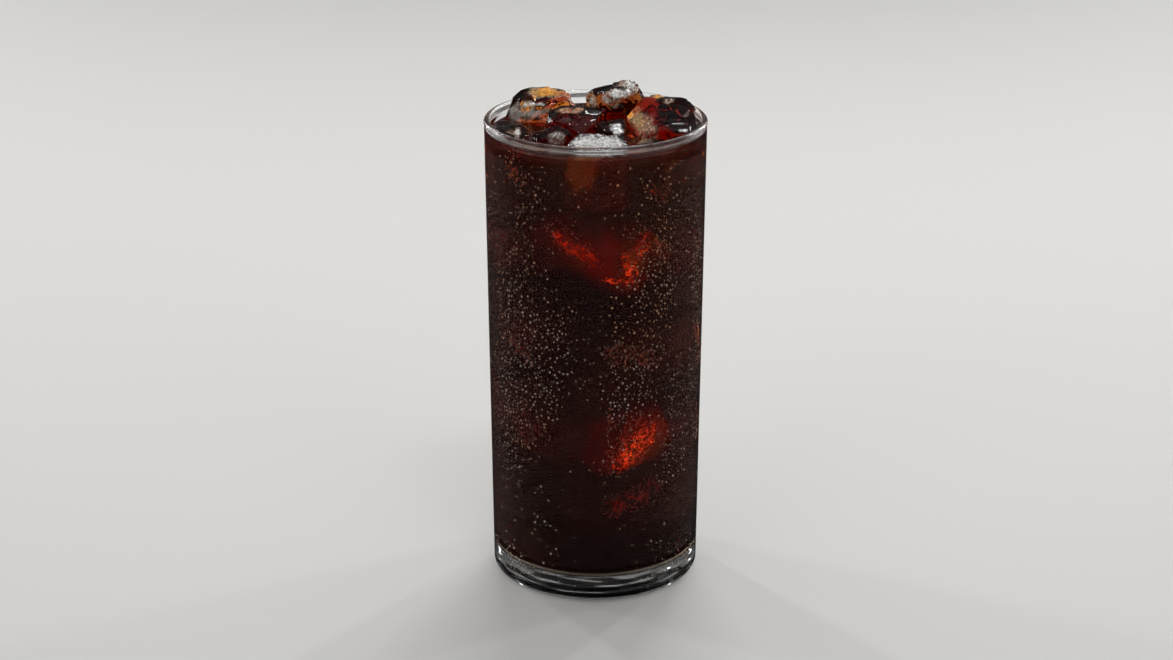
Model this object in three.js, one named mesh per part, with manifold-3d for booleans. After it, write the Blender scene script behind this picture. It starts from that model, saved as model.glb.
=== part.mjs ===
// Iced cold brew coffee in a tall, straight-sided tumbler with a heavy clear foot.
// Millimetres, +Z up. The origin is the centre of the foot, on the surface that the glass stands on.
// The viewer's side is -Y, and +X is to the viewer's right.
import * as THREE from "three";
import { mergeVertices } from "three/addons/utils/BufferGeometryUtils.js";
import Module from "manifold-3d";

const wasm = await Module();
wasm.setup();

// Driving dimensions of the glass
const HEIGHT = 158.4;
const RIM_RADIUS = 36.5; // outside of the rounded bead at the lip
const FOOT_RADIUS = 34.9; // outside, just above the foot's rounded corner
const FOOT_CORNER = 3;
const FLOOR = 8; // top of the heavy foot, inside
const WALL_AT_RIM = 1.7;
const WALL_AT_FLOOR = 2.3;
const BEAD_RADIUS = 1.05;
const BEAD_PROUD = 0.15; // how far the bead stands out from the wall
const BEAD_NECK = 2; // how far below the bead's middle the wall is plain again
const BEAD_FROM = -60; // degrees round the bead, from level outwards
const BEAD_TO = 240;
const INSIDE_CORNER = 5;
const PUNT_DEPTH = 1.2; // the shallow hollow under the foot, in its middle
const PUNT_SHOULDER_RADIUS = 19;
const PUNT_SHOULDER_DEPTH = 0.95;
const PUNT_RADIUS = 27;
const PUNT_EDGE_DEPTH = 0.5;
const STANDING_RING = 30;
const AROUND = 72; // facets round the axis
const BEAD_STEPS = 10;
const CORNER_STEPS = 4;
const SAME_POINT = 1e-4; // points nearer than this are one

// Driving dimensions of the drink
const LEVEL = 152.8;
const MENISCUS_RISE = 1.1;
const MENISCUS_REACH = 1.1;
const MENISCUS_WIDTH = 3.3;
const MENISCUS_STEPS = 3;
const CLEARANCE = 0.3; // between the drink and what it touches

// Driving dimensions of the ice
const ICE_GAP = 1.6; // between neighbouring pieces, filled with coffee
const ICE_TO_WALL = 1.3;
const ICE_SQUARENESS = 7; // exponent of the rounded block: 2 is an egg, 20 a sharp box
const ICE_GRID = 5; // squares along each edge of a block's faces
const MELT_DEPTH = 0.35; // height of the soft waves that melting leaves
const MELT_LENGTH = 11; // and their length
const FAR = 80; // half the side of a block that stands for everything beyond a plane
const WELL_HEIGHT = 480; // of the upright cylinder that keeps ice off the wall, half of it above z = 0

const UP = new THREE.Vector3(0, 0, 1);

// The pieces of ice that break the surface. at is the middle, size the three sides, turn in degrees.
// chips are corners knocked off: the direction of each, and how far out of the middle it lies.
const ICE = [
  {
    name: "ice_back_left",
    at: [-19.2, 22, 150.2],
    size: [24, 18, 22],
    turn: [11, 6, 4],
    chips: [[[-1, -0.7, 0.9], 13.2], [[1, 0.1, 0.8], 13.4]],
  },
  {
    name: "ice_tall",
    at: [8.4, 17.4, 151.4],
    size: [19, 15.5, 26],
    turn: [5, -18, -5],
    chips: [[[1, -0.2, 0.55], 12.2], [[-0.5, -1, 1], 13.2], [[1, -1, 0.1], 10.3]],
  },
  {
    name: "ice_middle",
    at: [-4.6, 7, 148.6],
    size: [24, 16, 19],
    turn: [22, 0, -3],
    chips: [[[-1, -0.5, 0.9], 12.4], [[0.2, 1, 1], 11.6]],
  },
  {
    name: "ice_wedge",
    at: [5.6, 0.8, 147.4],
    size: [12, 12, 19],
    turn: [26, 3, 12],
    chips: [[[1, -0.2, 0.8], 8.2]],
  },
  {
    name: "ice_front",
    at: [0.6, -19.4, 145.8],
    size: [21, 21, 21],
    turn: [4, 3, -4],
    chips: [[[1, 0.8, 0.8], 13.5], [[-1, 0.2, 1], 13]],
  },
  {
    name: "ice_right",
    at: [22.8, 6.6, 148.8],
    size: [26.5, 31, 22],
    turn: [10, 3, 2],
    chips: [[[-0.42, -0.1, 1], 11.6], [[-1, -1, 0.4], 15.5], [[0.3, 1, 1], 16.2]],
  },
  {
    name: "ice_front_right",
    at: [18.6, -16.4, 144.9],
    size: [15, 14, 19],
    turn: [8, 6, -30],
    chips: [[[-0.6, 0.8, 1], 10]],
  },
  {
    name: "ice_left",
    at: [-28, 1.2, 144.8],
    size: [12.5, 24, 20],
    turn: [3, 4, 13],
    chips: [[[0.8, -0.8, 1], 11.4]],
  },
  {
    name: "ice_front_left",
    at: [-13, -6.6, 146.6],
    size: [12.5, 12, 19],
    turn: [12, -8, 24],
    chips: [[[-0.6, -0.9, 1], 9]],
  },
];

// Materials
const clearGlass = new THREE.MeshStandardMaterial({
  color: 0xdfe6e4,
  roughness: 0.03,
  metalness: 0,
  transparent: true,
  opacity: 0.35,
});
const coldBrew = new THREE.MeshStandardMaterial({ color: 0x240b08, roughness: 0.04, metalness: 0 });
const wetIce = new THREE.MeshStandardMaterial({
  color: 0xb98d63,
  roughness: 0.08,
  metalness: 0,
  transparent: true,
  opacity: 0.6,
});

// Radius of the outside and of the inside of the wall at a height
function outerRadius(z) {
  const wallTop = RIM_RADIUS - BEAD_PROUD;
  return THREE.MathUtils.mapLinear(z, FOOT_CORNER, HEIGHT, FOOT_RADIUS, wallTop);
}

function innerRadius(z) {
  return outerRadius(z) - THREE.MathUtils.mapLinear(z, FLOOR, HEIGHT, WALL_AT_FLOOR, WALL_AT_RIM);
}

// Points of an arc in the radius and height plane, with its angles in degrees
function arc(centreR, centreZ, radius, from, to, steps) {
  const points = [];
  for (let i = 0; i <= steps; i++) {
    const angle = THREE.MathUtils.degToRad(from + ((to - from) * i) / steps);
    points.push(new THREE.Vector2(centreR + radius * Math.cos(angle), centreZ + radius * Math.sin(angle)));
  }
  return points;
}

// Leaves only positions, with shared corners, so that the surface closes on itself
function closed(geometry) {
  geometry.deleteAttribute("normal");
  geometry.deleteAttribute("uv");
  return mergeVertices(geometry, SAME_POINT);
}

// Turns an outline in the radius and height plane round the Z axis
function turned(outline) {
  const geometry = new THREE.LatheGeometry(outline, AROUND);
  geometry.rotateX(Math.PI / 2);
  return closed(geometry);
}

function solidOf(geometry) {
  const vertProperties = new Float32Array(geometry.getAttribute("position").array);
  const triVerts = new Uint32Array(geometry.index.array);
  return new wasm.Manifold(new wasm.Mesh({ numProp: 3, vertProperties, triVerts }));
}

function geometryOf(solid) {
  const { vertProperties, triVerts } = solid.getMesh();
  const geometry = new THREE.BufferGeometry();
  geometry.setAttribute("position", new THREE.BufferAttribute(vertProperties, 3));
  geometry.setIndex(new THREE.BufferAttribute(triVerts, 1));
  geometry.computeVertexNormals();
  return geometry;
}

// The tumbler: hollowed underside, standing ring, straight tapered wall, beaded lip, flat floor inside
function glassOutline() {
  const beadR = RIM_RADIUS - BEAD_RADIUS;
  const beadZ = HEIGHT - BEAD_RADIUS;
  const neckZ = beadZ - BEAD_NECK;
  const cornerZ = FLOOR + INSIDE_CORNER;
  const floorEdge = innerRadius(cornerZ) - INSIDE_CORNER;
  return [
    new THREE.Vector2(0, PUNT_DEPTH),
    new THREE.Vector2(PUNT_SHOULDER_RADIUS, PUNT_SHOULDER_DEPTH),
    new THREE.Vector2(PUNT_RADIUS, PUNT_EDGE_DEPTH),
    new THREE.Vector2(STANDING_RING, 0),
    ...arc(FOOT_RADIUS - FOOT_CORNER, FOOT_CORNER, FOOT_CORNER, -90, 0, CORNER_STEPS),
    new THREE.Vector2(outerRadius(neckZ), neckZ),
    ...arc(beadR, beadZ, BEAD_RADIUS, BEAD_FROM, BEAD_TO, BEAD_STEPS),
    new THREE.Vector2(innerRadius(neckZ), neckZ),
    ...arc(floorEdge, cornerZ, INSIDE_CORNER, 0, -90, CORNER_STEPS),
    new THREE.Vector2(0, FLOOR),
  ];
}

// The coffee: fills the glass to its level and climbs a little up the wall
function coffeeOutline() {
  const bottom = FLOOR + CLEARANCE;
  const cornerZ = FLOOR + INSIDE_CORNER;
  const floorEdge = innerRadius(cornerZ) - INSIDE_CORNER;
  const edge = innerRadius(LEVEL) - CLEARANCE;
  const outline = [
    new THREE.Vector2(0, bottom),
    ...arc(floorEdge, cornerZ, INSIDE_CORNER - CLEARANCE, -90, 0, CORNER_STEPS),
  ];
  for (let i = 0; i <= MENISCUS_STEPS; i++) {
    const inward = (MENISCUS_WIDTH * i) / MENISCUS_STEPS;
    const rise = MENISCUS_RISE * Math.exp(-inward / MENISCUS_REACH);
    outline.push(new THREE.Vector2(edge - inward, LEVEL + rise));
  }
  outline.push(new THREE.Vector2(0, LEVEL));
  return outline;
}

// A block with softly rounded edges: a box whose points are drawn in to a rounded surface, then
// pushed in and out a little where the ice has melted
function roundedBlock(piece, grow) {
  const geometry = closed(new THREE.BoxGeometry(2, 2, 2, ICE_GRID, ICE_GRID, ICE_GRID));
  const position = geometry.getAttribute("position");
  const half = new THREE.Vector3(...piece.size).multiplyScalar(0.5);
  const point = new THREE.Vector3();
  const k = ICE_SQUARENESS;
  for (let i = 0; i < position.count; i++) {
    point.fromBufferAttribute(position, i);
    const reach = Math.abs(point.x) ** k + Math.abs(point.y) ** k + Math.abs(point.z) ** k;
    point.multiplyScalar(reach ** (-1 / k)).multiply(half);
    const length = point.length();
    point.multiplyScalar((length + grow + melt(point, piece.at[0])) / length);
    position.setXYZ(i, point.x, point.y, point.z);
  }
  return geometry;
}

// Height of the melted waves at a point, different for each piece
function melt(point, phase) {
  const turn = (2 * Math.PI) / MELT_LENGTH;
  const waves = Math.sin(point.x * turn + phase) * Math.sin(point.y * turn + 2 * phase);
  return MELT_DEPTH * waves * Math.cos(point.z * turn - phase);
}

// Everything on the near side of a plane, as one large block
function nearSide(normal, throughPoint) {
  const geometry = closed(new THREE.BoxGeometry(2 * FAR, 2 * FAR, 2 * FAR));
  geometry.translate(0, 0, -FAR);
  geometry.applyQuaternion(new THREE.Quaternion().setFromUnitVectors(UP, normal));
  geometry.translate(throughPoint.x, throughPoint.y, throughPoint.z);
  return solidOf(geometry);
}

function middleOf(piece) {
  return new THREE.Vector3(...piece.at);
}

function turnOf(piece) {
  return new THREE.Quaternion().setFromEuler(
    new THREE.Euler(...piece.turn.map(THREE.MathUtils.degToRad)),
  );
}

function widthOf(piece) {
  return (piece.size[0] + piece.size[1]) / 2;
}

// One piece of ice in the frame of the glass: a rounded block less its chips, kept off its
// neighbours and off the wall. grow makes it larger all round, for the hollow it leaves in the coffee.
function iceSolid(piece, grow) {
  const middle = middleOf(piece);
  const turn = turnOf(piece);
  const block = roundedBlock(piece, grow);
  block.applyQuaternion(turn);
  block.translate(middle.x, middle.y, middle.z);
  let solid = solidOf(block);
  for (const [direction, distance] of piece.chips) {
    const normal = new THREE.Vector3(...direction).normalize().applyQuaternion(turn);
    solid = solid.intersect(nearSide(normal, middle.clone().addScaledVector(normal, distance + grow)));
  }
  for (const other of ICE) {
    const away = middleOf(other).sub(middle).setZ(0);
    if (other === piece || away.length() > widthOf(piece) + widthOf(other)) continue;
    const share = widthOf(piece) / (widthOf(piece) + widthOf(other));
    const limit = away.length() * share - ICE_GAP / 2 + grow;
    const normal = away.normalize();
    solid = solid.intersect(nearSide(normal, middle.clone().addScaledVector(normal, limit)));
  }
  const reach = innerRadius(LEVEL) - ICE_TO_WALL + grow;
  const well = new THREE.CylinderGeometry(reach, reach, WELL_HEIGHT, AROUND);
  well.rotateX(Math.PI / 2);
  return solid.intersect(solidOf(closed(well)));
}

function glassMesh() {
  const mesh = new THREE.Mesh(turned(glassOutline()), clearGlass);
  mesh.name = "glass";
  return mesh;
}

function iceMesh(piece) {
  const geometry = geometryOf(iceSolid(piece, 0));
  geometry.translate(-piece.at[0], -piece.at[1], -piece.at[2]);
  const mesh = new THREE.Mesh(geometry, wetIce);
  mesh.name = piece.name;
  mesh.position.set(...piece.at);
  return mesh;
}

function coffeeMesh() {
  let solid = solidOf(turned(coffeeOutline()));
  for (const piece of ICE) solid = solid.subtract(iceSolid(piece, CLEARANCE));
  const mesh = new THREE.Mesh(geometryOf(solid), coldBrew);
  mesh.name = "coffee";
  return mesh;
}

const drink = new THREE.Group();
drink.name = "cold_brew";
drink.add(glassMesh(), coffeeMesh(), ...ICE.map(iceMesh));

export default drink;
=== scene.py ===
"""Looks of an iced cold brew coffee in a tall glass, with its condensation, floor and light.

Everything is in metres in the frame of the solids: +Z up, the glass stands on z = 0, -Y is the
viewer's side. Lengths below are written in millimetres times MM.
"""

import math
import random

import bmesh
import bpy
from mathutils import Matrix, Vector, noise
from mathutils.bvhtree import BVHTree


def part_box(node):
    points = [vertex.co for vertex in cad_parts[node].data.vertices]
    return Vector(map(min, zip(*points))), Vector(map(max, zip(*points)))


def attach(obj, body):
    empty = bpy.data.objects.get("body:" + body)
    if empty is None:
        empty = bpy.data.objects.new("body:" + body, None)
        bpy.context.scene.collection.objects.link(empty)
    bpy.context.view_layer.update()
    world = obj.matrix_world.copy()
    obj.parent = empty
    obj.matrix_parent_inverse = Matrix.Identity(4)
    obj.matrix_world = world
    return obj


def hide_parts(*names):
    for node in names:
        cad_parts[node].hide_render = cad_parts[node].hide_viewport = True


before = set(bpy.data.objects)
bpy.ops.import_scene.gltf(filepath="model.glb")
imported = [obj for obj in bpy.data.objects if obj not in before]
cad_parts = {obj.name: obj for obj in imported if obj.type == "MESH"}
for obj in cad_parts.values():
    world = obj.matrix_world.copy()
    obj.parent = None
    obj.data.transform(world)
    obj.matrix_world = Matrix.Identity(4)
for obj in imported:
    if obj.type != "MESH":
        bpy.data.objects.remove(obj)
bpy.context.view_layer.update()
MM = 0.001
ON_AXIS = 0.001 * MM
SAME_POINT = 0.001 * MM

# The glass, as in the solids
_, GLASS_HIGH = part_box("glass")
HEIGHT = GLASS_HIGH.z
RIM_RADIUS = GLASS_HIGH.x
FOOT_RADIUS = 34.9 * MM
FOOT_CORNER = 3 * MM
FLOOR = 8 * MM
WALL_AT_RIM = 1.7 * MM
WALL_AT_FLOOR = 2.3 * MM
BEAD_RADIUS = 1.05 * MM
BEAD_PROUD = 0.15 * MM
BEAD_NECK = 2 * MM
INSIDE_CORNER = 5 * MM
PUNT_DEPTH = 1.2 * MM
PUNT_RADIUS = 27 * MM
PUNT_RINGS = 40
PUNT_WAVES = 4.6  # the soft rings that pressing leaves under the foot
PUNT_RIPPLE = 0.09 * MM
PUNT_DENTS = 0.24 * MM  # and its uneven dents
PUNT_DENT_LENGTH = 6.5 * MM
PUNT_BLEND = 4 * MM  # width in which the dents fade out at its edge
PUNT_FALL = 0.6  # share of its depth that the dome loses by its edge
PUNT_ROUNDNESS = 2.4
PUNT_TOP = PUNT_DEPTH * 1.2  # nothing of it is higher
STANDING_RING = 29.4 * MM
STANDING_RING_LIFT = 0.06 * MM
AROUND = 144  # facets round the axis
FOOT_STEPS = 10
WALL_STEPS = 30
BEAD_STEPS = 20
BEAD_FROM = -60  # degrees
BEAD_TO = 240
CORNER_STEPS = 12
FLAT_SHARE = 0.5  # where on the way to the axis a flat bottom has one more ring

# Its zones: name, how strongly each mirrors when seen square on (a wetted face hardly does), and
# its least and most roughness
SMOOTH = (0.0, 0.01)
GLASS_IOR = 1.5
GLASS_ZONES = [
    ("glass_foot", 1, SMOOTH),
    ("glass_wall", 0.5, SMOOTH),
    ("glass_wetted_inside", 0.05, SMOOTH),
    ("glass_lip", 1, (0.1, 0.24)),
]
NEARLY_FLOOR = FLOOR * 0.9
UPWARD = 0.5  # a face whose normal rises more than this faces up

# The drink
LEVEL = 152.8 * MM
MENISCUS_RISE = 1.1 * MM
MENISCUS_REACH = 1.1 * MM
INTO_GLASS = 0.2 * MM  # how far the drink reaches into the wall, so that no air shows between them
TOP_RING = 0.5 * MM  # spacing of the rings of its surface
ICE_RISE = 0.5 * MM  # how far it climbs round the ice
ICE_RISE_REACH = 0.7 * MM

DARK_BOTTOM_DEPTH = 0.8 * MM  # its faces this near to the floor get a near-black opaque coat

# What it takes out of light, for each metre, in red, green and blue
ABSORB = (95, 420, 900)
DENSITY = 1000
WATER_IOR = 1.33
DRINK_GLOSS = 0.3
DARK_BOTTOM_COLOUR = (0.02, 0.007, 0.005)
DARK_BOTTOM_ROUGHNESS = (0.05, 0.2)
HAZE = 0.05  # share of its surface that scatters light
HAZE_PATCHES = (0.3, 1.4)  # how much of it is warm, a painted glow: mean, and how far the patches depart from it
HAZE_PATCH_WARMTH = 0.7
HAZE_FADE = 8  # how fast the warm painted glow fades from the wall inward
HAZE_DARK = (0.26, 0.025, 0.016)
HAZE_RED = (1, 0.13, 0.06)
HAZE_AMBER = (1, 0.24, 0.08)
HAZE_CELL = 26 * MM
# Its warm places, painted glows that stand in for light coming through ice and drink near the
# wall:
# direction from the axis in degrees, height, radius, strength and colour
HAZE_GLOW_PLACES = [
    (-158, 138, 24, 1.0, HAZE_RED),
    (-102, 147, 8, 1.0, HAZE_AMBER),
    (-75, 145, 15, 0.8, HAZE_RED),
    (-40, 136, 20, 0.9, HAZE_AMBER),
    (-54, 125, 9, 0.8, HAZE_AMBER),
    (-16, 110, 20, 0.7, HAZE_RED),
    (-20, 86, 12, 0.9, HAZE_AMBER),
    (-70, 87, 11, 0.5, HAZE_AMBER),
    (-146, 90, 13, 0.4, HAZE_RED),
    (-168, 45, 24, 0.6, HAZE_RED),
    (-62, 52, 13, 0.9, HAZE_RED),
    (-35, 36, 14, 0.9, HAZE_RED),
]

# The ice
ICE_IOR = 1.31
ICE_ROUGHNESS = (0.02, 0.35)  # where it is clear, and where it is frosted
ICE_VOXEL = 0.45 * MM
HOLLOW_VOXEL = 0.8 * MM
HOLLOW_INSET = 0.5 * MM  # the hollow in the drink is smaller than its ice by this
SOFTENING = 0.5  # how its corners melt
SOFTENING_ROUNDS = 3
CELL = 8 * MM  # size of the broad facets on the ice
CELL_SLOPE = 0.1
TILT_SPREAD = 5.17  # how far apart in the noise the tilts of neighbouring facets are drawn
TILT_SHIFTS = ((0, 0, 0), (31.4, 7.7, 2.3), (5.9, 43.2, 17.1))
CRACKLE_CELL = 1.6 * MM  # and of the fine ones in its crackled spots
CRACKLE_SLOPE = 0.5
SOFT_RELIEF = 0.12 * MM
SOFT_LENGTH = 3.5 * MM
FROST_CLOUD = 0.7  # share of frosted ice that scatters light
FROST_CELL = 1.3 * MM
FROST_SHIFT = Vector((3, 1, 2)) * MM  # keeps the veins of the frost off those of the stains
EDGE = 1.15  # share of its radius at which a crackled spot or a stain ends
SPOT_EDGE = 3  # how sharply a crackled spot ends
SPOT_RAGGED = 0.35  # how far its edge wanders, and over what length
SPOT_LENGTH = 2.2 * MM
STAIN_CLOUD = 0.75
STAIN_EDGE = 2.4  # how sharply a stain ends
STAIN_RAGGED = 0.45
STAIN_LENGTH = 1.9 * MM
STAIN_FRAYED = 0.2
STAIN_FRAY_LENGTH = 0.8 * MM
VEIN_EDGE = 3  # how sharply a cell is parted from the next
CRAZE_CELL = 1.5 * MM
CRAZE_DARK = 0.35  # how cloudy the cracks in white ice stay
AMBER_CLOUD = 0.5
AMBER_DARK = 0.45

AMBER = (0.9, 0.43, 0.09)
GOLD = (0.95, 0.66, 0.22)
EMBER = (0.8, 0.2, 0.06)
CLOUD = (0.93, 0.93, 0.92)

# Each piece that breaks the surface: what it absorbs for each metre and its tint; its crackled and
# frosted spots, as middle, radius and strength; and its stains, cloudy spots that also give off a
# painted glow, as middle, radii along the three axes, strength, strength of the painted glow, and
# colour. The amber, gold and ember ones are coffee stain whose glow stands in for light coming
# through the ice; the white ones are frost whose glow, on edges and facets, is a painted
# highlight.
ICE = {
    "ice_back_left": {
        "absorb": (30, 110, 260),
        "tint": (0.95, 0.8, 0.62),
        "spots": [((-23, 12, 157), 3.4, 0.7), ((-15, 11, 155), 4, 0.6)],
        "stains_and_glows": [
            ((-15.5, 21, 161.4), (6.5, 6, 1.5), 1.0, 0.24, AMBER),
            ((-10, 25, 159), (3.5, 5, 3), 0.8, 0.2, EMBER),
            # White glowing stains along its top edge and front: painted highlights on frost
            ((-19, 12.2, 159.4), (8, 1.4, 0.6), 0.9, 0.2, CLOUD),
            ((-21, 12, 156.4), (5, 1.4, 1.2), 0.6, 0.1, CLOUD),
            ((-26.5, 13.5, 155.5), (2.2, 3, 4), 0.6, 0.1, CLOUD),
        ],
    },
    "ice_tall": {
        "absorb": (80, 190, 330),
        "tint": (0.7, 0.52, 0.4),
        "spots": [
            ((11.5, 17, 165.4), 4.4, 1.0),
            ((6, 11, 162.4), 3.4, 1.0),
            ((-1, 17.5, 159.2), 2.4, 0.9),
        ],
        "stains_and_glows": [
            ((12.5, 16, 165.6), (4, 5, 1.3), 0.9, 0.16, CLOUD),
            ((8.4, 11, 163.4), (4.5, 2.6, 1.5), 1.0, 0.18, CLOUD),
            ((3.2, 12.5, 161.2), (1.6, 2, 1.6), 0.8, 0.12, CLOUD),
            ((-0.8, 17.8, 159), (1.5, 2, 1.6), 0.8, 0.1, CLOUD),
        ],
    },
    "ice_middle": {
        "absorb": (45, 230, 380),
        "tint": (0.92, 0.5, 0.34),
        "spots": [],
        "stains_and_glows": [
            # A pale glowing streak: a painted highlight along the top ridge
            ((-8, 7, 159), (4.5, 1.6, 1), 0.6, 0.14, (1, 0.6, 0.36)),
        ],
    },
    "ice_wedge": {
        "absorb": (70, 190, 300),
        "tint": (0.8, 0.66, 0.56),
        "spots": [],
        "stains_and_glows": [
            # A white glowing spot: a painted highlight on the sloping facet
            ((7, -3.6, 155.2), (2, 2.2, 3), 1.0, 0.25, (0.86, 0.88, 0.9)),
        ],
    },
    "ice_front": {
        "absorb": (25, 70, 150),
        "tint": (1, 0.97, 0.94),
        "spots": [((1, -22, 155), 9, 1.0)],
        "stains_and_glows": [
            ((1, -22, 156), (9, 6, 2.4), 0.85, 0.14, CLOUD),
            # An amber glowing patch under the level: a painted glow of light coming down through
            # the ice
            ((-4.6, -29.5, 149), (5, 4, 6), 0.26, 0.3, (1, 0.72, 0.3)),
        ],
    },
    "ice_right": {
        "absorb": (38, 150, 330),
        "tint": (0.88, 0.6, 0.4),
        "spots": [
            ((14.5, 0, 156.5), 4.5, 0.6),
            ((16, -7, 154.8), 4.5, 0.6),
            ((24, 12, 161), 2, 0.5),
        ],
        "stains_and_glows": [
            ((11.2, 8, 157.8), (1.1, 9, 2.2), 1.0, 0.5, AMBER),
            ((14, 2, 157), (2.6, 9, 3), 0.6, 0.1, GOLD),
            ((21, 17, 160.8), (2, 2, 1.5), 0.9, 0.4, AMBER),
        ],
    },
    "ice_front_right": {
        "absorb": (110, 300, 500),
        "tint": (0.8, 0.56, 0.4),
        "spots": [((15.5, -14, 155), 3, 0.4)],
        "stains_and_glows": [((14, -12.5, 154), (3, 3, 2), 0.5, 0.1, GOLD)],
    },
    "ice_left": {
        "absorb": (80, 280, 450),
        "tint": (0.85, 0.55, 0.4),
        "spots": [((-26.5, -4, 154), 2.4, 0.5)],
        "stains_and_glows": [
            # A white glowing line: a painted highlight down its edge
            ((-25.4, -3, 153.6), (1, 5.5, 1.6), 0.9, 0.2, CLOUD),
        ],
    },
    "ice_front_left": {
        "absorb": (60, 180, 280),
        "tint": (0.9, 0.7, 0.6),
        "spots": [((-12.5, -11.5, 154.5), 3, 0.5)],
        "stains_and_glows": [((-13, -10.5, 155.4), (2.2, 1.4, 1), 0.4, 0.06, CLOUD)],
    },
}

# Ice that is wholly sunk: direction from the axis in degrees, distance, height, three sides, turns
SUNK = [
    (-118, 17.5, 120, (24, 20, 22), (12, -24, 8)),
    (-62, 18.5, 117, (22, 20, 20), (-14, 22, 20)),
    (-35, 18, 84, (24, 20, 22), (10, 12, 40)),
    (-150, 18, 88, (20, 22, 20), (-20, 10, 15)),
    (-62, 19, 54, (25, 18, 19), (6, -24, 16)),
    (-10, 19, 52, (20, 22, 22), (18, 8, -12)),
    (5, 15.5, 116, (20, 22, 22), (8, -16, 24)),
    (65, 19, 100, (22, 20, 24), (-12, 20, 10)),
    (130, 18, 112, (24, 20, 22), (16, 10, -22)),
    (176, 15, 115, (22, 20, 18), (-10, 14, 34)),
    (100, 18, 62, (22, 22, 20), (20, -12, 10)),
    (160, 18, 58, (24, 20, 22), (10, 22, -16)),
    (-135, 17, 54, (22, 20, 20), (-8, -20, 12)),
]
SUNK_SQUARENESS = 5
SUNK_CUTS = 11
SUNK_CLEARANCE = 2.4 * MM  # least depth behind the wall
SUNK_SLOPE = 0.25
SUNK_RELIEF = 0.3 * MM
SUNK_RELIEF_LENGTH = 5 * MM
SUNK_HOLLOW_INSET = 0.35 * MM
SUNK_ABSORB = (45, 200, 400)
SUNK_GLOSS = 0.3
SUNK_ROUGHNESS = (0.0, 0.03)

# Where crazed ice glows through the drink, its splinters giving off a painted glow: first and last
# direction in degrees, first and last height, depth behind the wall, half width, share of
# splinters kept, brightness and colour of the glow
RED_LIGHT = (1, 0.25, 0.16)
AMBER_LIGHT = (1, 0.5, 0.2)
GLOWS = [
    (-119, -90, 128, 118.5, 6.2, 2.6, 0.9, 2.9, RED_LIGHT),
    (-72, -65, 121, 112, 5.2, 2.6, 0.9, 4.6, RED_LIGHT),
    (-64, -55, 121, 127, 5.6, 2.4, 0.8, 3.2, RED_LIGHT),
    (-87, -66, 113.2, 111.4, 5, 0.9, 0.9, 5, RED_LIGHT),
    (-79, -48, 46, 60, 8.5, 7.5, 0.5, 1.3, RED_LIGHT),
    (-121, -88, 128, 118, 9, 4.5, 0.5, 1.2, RED_LIGHT),
    (-72, -56, 113, 126, 8, 5, 0.5, 1.2, RED_LIGHT),
    (-86, -52, 88, 84, 3.2, 4.5, 0.45, 0.6, RED_LIGHT),
    (-77, -50, 47, 59, 5.6, 4.6, 0.9, 5.6, RED_LIGHT),
    (-82, -81, 55, 68, 5.5, 0.9, 0.6, 1.0, RED_LIGHT),
    (-82, -40, 31, 36, 9, 5, 0.7, 1.0, RED_LIGHT),
    (-14, -2, 90, 74, 1.6, 1.8, 0.8, 2.0, AMBER_LIGHT),
    (-146, -134, 148, 143, 2.2, 2.4, 0.7, 0.9, AMBER_LIGHT),
    (-60, -45, 144, 138, 3, 2.2, 0.5, 0.6, AMBER_LIGHT),
    (-56, -47, 127, 119.5, 2.2, 3, 0.6, 0.9, AMBER_LIGHT),
    (-152, -132, 89, 82, 4, 2.4, 0.5, 0.5, RED_LIGHT),
    (20, 48, 108, 116, 2, 3, 0.7, 1.1, RED_LIGHT),
    (70, 95, 96, 90, 3, 3, 0.6, 0.9, RED_LIGHT),
    (118, 140, 120, 108, 2, 3.4, 0.7, 1.2, RED_LIGHT),
    (165, 185, 112, 122, 2.4, 3, 0.6, 1.0, RED_LIGHT),
    (92, 112, 58, 66, 2, 3.2, 0.8, 1.3, RED_LIGHT),
    (150, 172, 64, 52, 2.6, 3.2, 0.6, 0.9, RED_LIGHT),
    (-142, -126, 52, 60, 5, 3, 0.4, 0.5, RED_LIGHT),
    (-8, 14, 48, 56, 2.6, 3, 0.6, 1.0, RED_LIGHT),
]
HALO_LEVEL = 0.008
HALO_REACH = 3 * MM  # how far the painted glow spreads past its splinters over the sunk ice
HALO_FALL = 2
HALO_FROM = 1.0  # glows less bright than this have none
SHARDS_PER_SQUARE_MM = 16
SHARD_LENGTH = (0.25, 0.75)  # millimetres
SHARD_SLIMNESS = (0.3, 0.7)  # width to length
SHARD_TWIST = 0.3  # how unevenly its corners stand round it
SHARD_SKEW = 0.2
SHARD_LIGHT = (0.1, 1.0)
CRACK_CELL = 2.1 * MM
CRACK_SHIFT = Vector((5, 3, 1)) * MM
CRACK_WIDTH = 0.35
CRACK_DEPTHS = (-0.3, 0.3)  # millimetres behind the band, for a splinter on a crack
BETWEEN_DEPTHS = (0.8, 3)  # and for one between the cracks
BETWEEN_SHARE = 0.4  # share of those that are kept, and their brightness
BETWEEN_LIGHT = 0.6
GLOW_LEVEL = 0.5
GLOW_FULL = 1.1
GLOW_END = 0.6  # share of a band's length after which it thins out, and how fast it does
GLOW_END_FALL = 1.6
GLOW_PATCHES = (0.6, 1.1)
GLOW_PATCH_LENGTH = 2.6 * MM
SHARD_COLOUR = (0.95, 0.72, 0.58)
SHARD_ROUGHNESS = (0.3, 0.6)

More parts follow.
